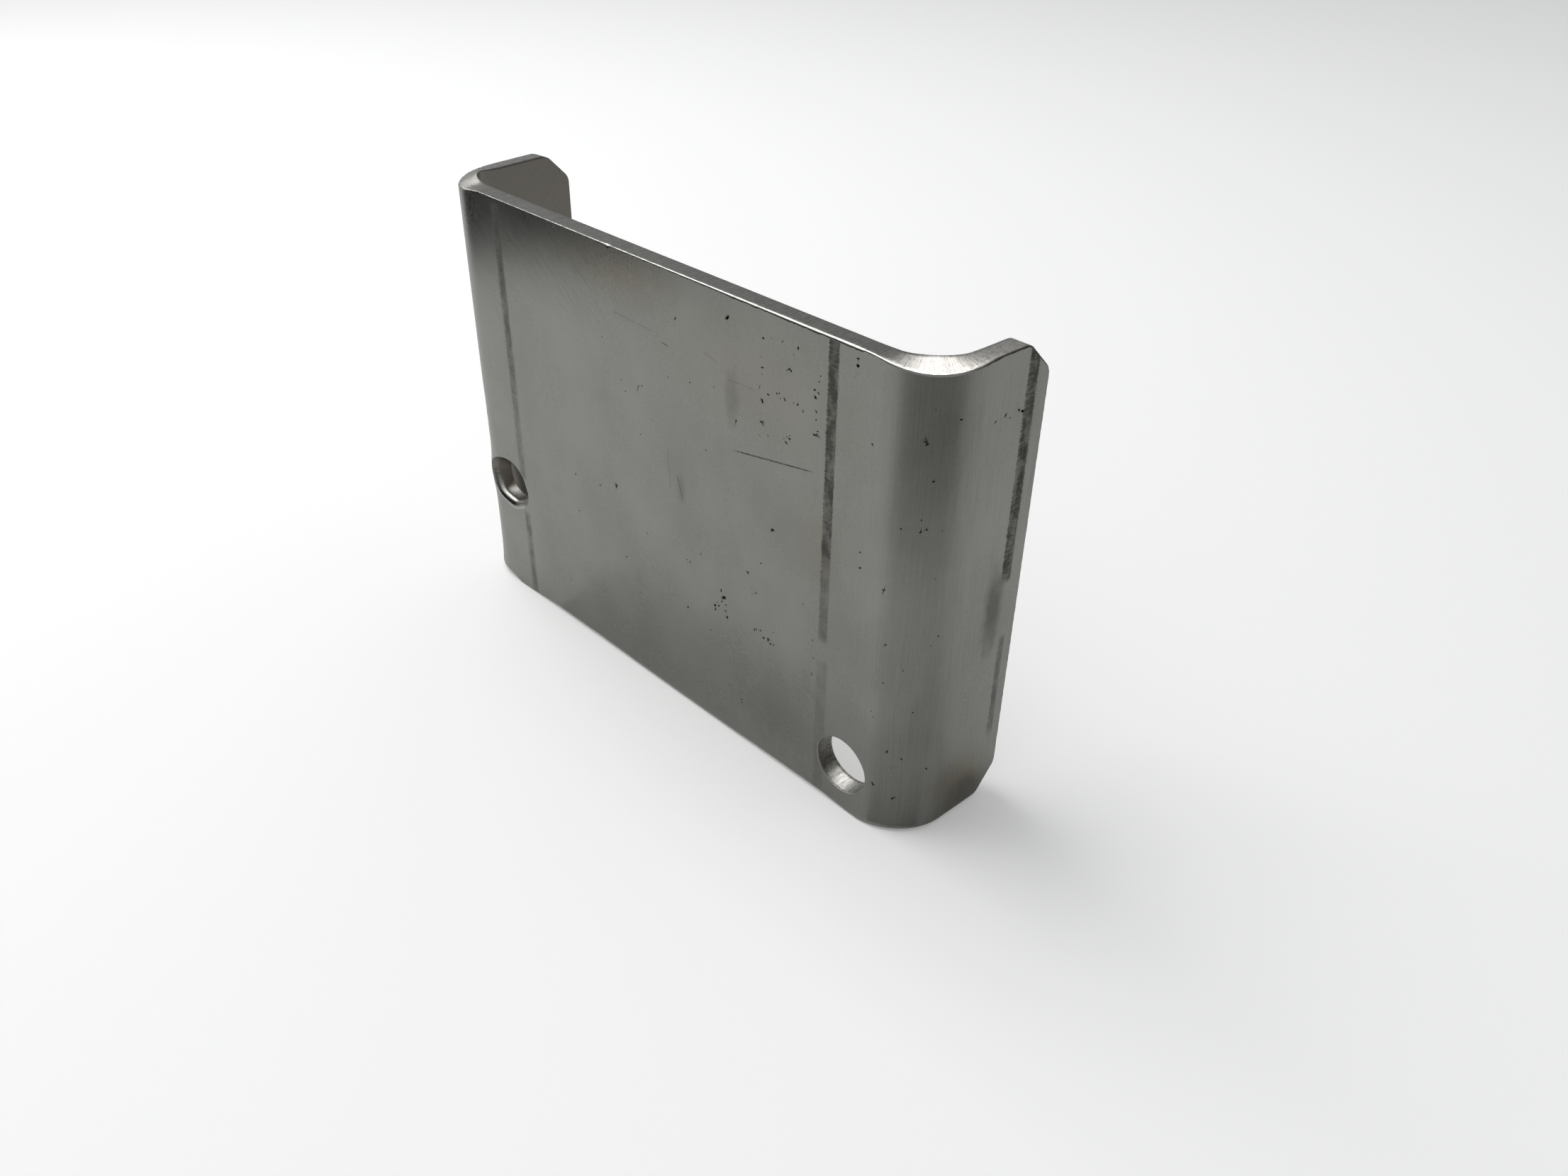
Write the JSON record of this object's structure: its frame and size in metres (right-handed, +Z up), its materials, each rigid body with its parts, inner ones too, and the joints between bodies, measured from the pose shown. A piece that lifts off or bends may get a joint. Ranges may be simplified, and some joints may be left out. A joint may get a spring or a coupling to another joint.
{
  "type": "master cylinder bracket",
  "caption": "Folded stainless sheet bracket for a hydraulic master cylinder, a shallow channel with clipped flange corners.",
  "frame": {"origin": "middle of the web's outer face, on the seat of the cylinder or the firewall", "axes": "+Z up along the bend lines, +Y square into the web from its outer face, +X along the web"},
  "size_m": [0.1096, 0.0246, 0.0756],
  "materials": {
    "stainless_sheet": "satin"
  },
  "bodies": {
    "root": {"bracket": "stainless_sheet"}
  },
  "joints": []
}
